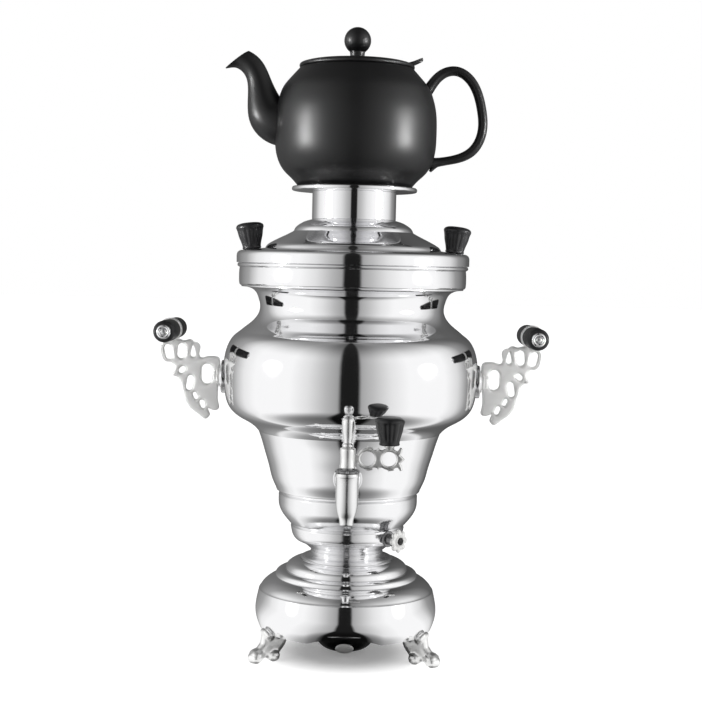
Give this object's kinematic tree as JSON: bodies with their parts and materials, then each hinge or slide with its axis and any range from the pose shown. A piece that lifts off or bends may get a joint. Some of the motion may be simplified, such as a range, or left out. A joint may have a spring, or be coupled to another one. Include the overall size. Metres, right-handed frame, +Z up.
{
  "type": "samovar",
  "caption": "Footed table samovar with bulb-shaped polished vessel, front tap, drain cock, side handles, lift-off lid and teapot on its chimney stand.",
  "frame": {"origin": "point on the vessel's vertical axis at floor level, midway between the feet pads' plane", "axes": "+Z up along the vessel's axis, the tap points to -Y, +X to the right seen from the tap side"},
  "size_m": [0.328, 0.2412, 0.5318],
  "materials": {
    "polished_steel": "mirror-polished stainless steel",
    "cast_metal": "cast and plated, softly polished",
    "black_bakelite": "moulded black, satin",
    "black_glaze": "black satin glaze",
    "black_enamel": "gloss black enamel",
    "grate_iron": "rough cast",
    "seal_rubber": "matt"
  },
  "bodies": {
    "samovar": {"base_shell": "polished_steel", "base_plate": "polished_steel", "foot_screws": "polished_steel", "neck_collar": "polished_steel", "fire_tube": "polished_steel", "bowl_shell": "polished_steel", "cone_shell": "polished_steel", "bulb_shell": "polished_steel", "rim_band": "polished_steel", "tap_flange": "polished_steel", "tap_nut": "polished_steel", "tap_body": "polished_steel", "tap_cap": "polished_steel", "drain_stub": "polished_steel", "drain_nut": "polished_steel", "handle_flange_left": "polished_steel", "handle_flange_right": "polished_steel", "grip_rod_left": "polished_steel", "grip_rod_right": "polished_steel", "grip_caps": "polished_steel", "handle_bolts": "polished_steel", "foot_left": "cast_metal", "foot_right": "cast_metal", "foot_rear": "cast_metal", "bracket_left": "cast_metal", "bracket_right": "cast_metal", "grip_left_front": "black_bakelite", "grip_left_rear": "black_bakelite", "grip_right_front": "black_bakelite", "grip_right_rear": "black_bakelite", "ash_pan": "black_enamel", "grate": "grate_iron", "tap_gasket": "seal_rubber", "handle_seals": "seal_rubber"},
    "lid": {"lid_shell": "polished_steel", "lid_knob_left": "black_bakelite", "lid_knob_right": "black_bakelite", "lid_knob_screws": "polished_steel"},
    "stand": {"chimney_collar": "polished_steel", "teapot_stand": "polished_steel"},
    "teapot": {"teapot_body": "black_glaze"},
    "teapot_lid": {"teapot_lid": "black_glaze"},
    "tap_key": {"tap_plug": "polished_steel", "tap_key": "cast_metal", "tap_finial": "polished_steel", "tap_knob": "black_bakelite", "tap_knob_screw": "polished_steel"},
    "drain_key": {"drain_key": "cast_metal", "drain_screw": "polished_steel"}
  },
  "joints": [
    {"name": "lid_lift", "type": "slide", "parent": "samovar", "child": "lid", "axis": [0, 0, 1], "range_m": [0, 0.09]},
    {"name": "stand_lift", "type": "slide", "parent": "lid", "child": "stand", "axis": [0, 0, 1], "range_m": [0, 0.06]},
    {"name": "teapot_lift", "type": "slide", "parent": "stand", "child": "teapot", "axis": [0, 0, 1], "range_m": [0, 0.08]},
    {"name": "teapot_lid_lift", "type": "slide", "parent": "teapot", "child": "teapot_lid", "axis": [0, 0, 1], "range_m": [0, 0.05]},
    {"name": "tap_turn", "type": "hinge", "parent": "samovar", "child": "tap_key", "pos_m": [0, -0.122, 0.159], "axis": [0, 0, 1], "range_deg": [-90, 0]},
    {"name": "drain_turn", "type": "hinge", "parent": "samovar", "child": "drain_key", "pos_m": [0.04243, -0.04243, 0.1046], "axis": [0.7071, -0.7071, 0], "range_deg": [0, 90]}
  ]
}
